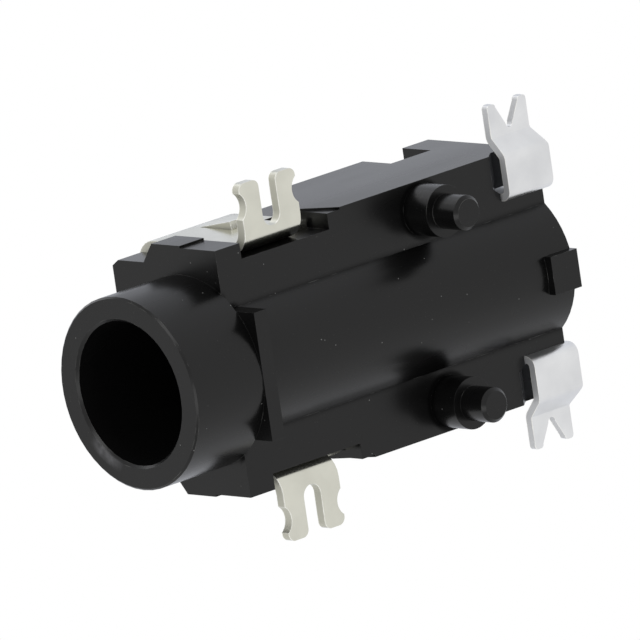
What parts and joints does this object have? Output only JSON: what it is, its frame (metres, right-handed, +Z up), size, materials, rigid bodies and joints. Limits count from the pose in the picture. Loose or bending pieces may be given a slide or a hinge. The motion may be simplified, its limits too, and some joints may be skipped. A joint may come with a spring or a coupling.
{
  "type": "audio jack socket",
  "caption": "Low board-edge audio jack socket with a round nose, a plug bore, stepped board pegs, forked and splayed solder feet and folded spring contacts.",
  "frame": {"origin": "on the board's surface, midway between the two board pegs", "axes": "+Z up from the board, -Y out of the plug's mouth, +X towards the sleeve contact's foot"},
  "size_m": [0.0092, 0.0137, 0.0057],
  "materials": {
    "housing": "satin black moulding",
    "front_contacts": "matt tin plating",
    "rear_contacts": "smooth tin plating"
  },
  "bodies": {
    "root": {"housing": "housing", "sleeve_contact": "front_contacts", "ring_contact": "front_contacts", "tip_contact": "rear_contacts", "tip_detect_contact": "rear_contacts"}
  },
  "joints": []
}
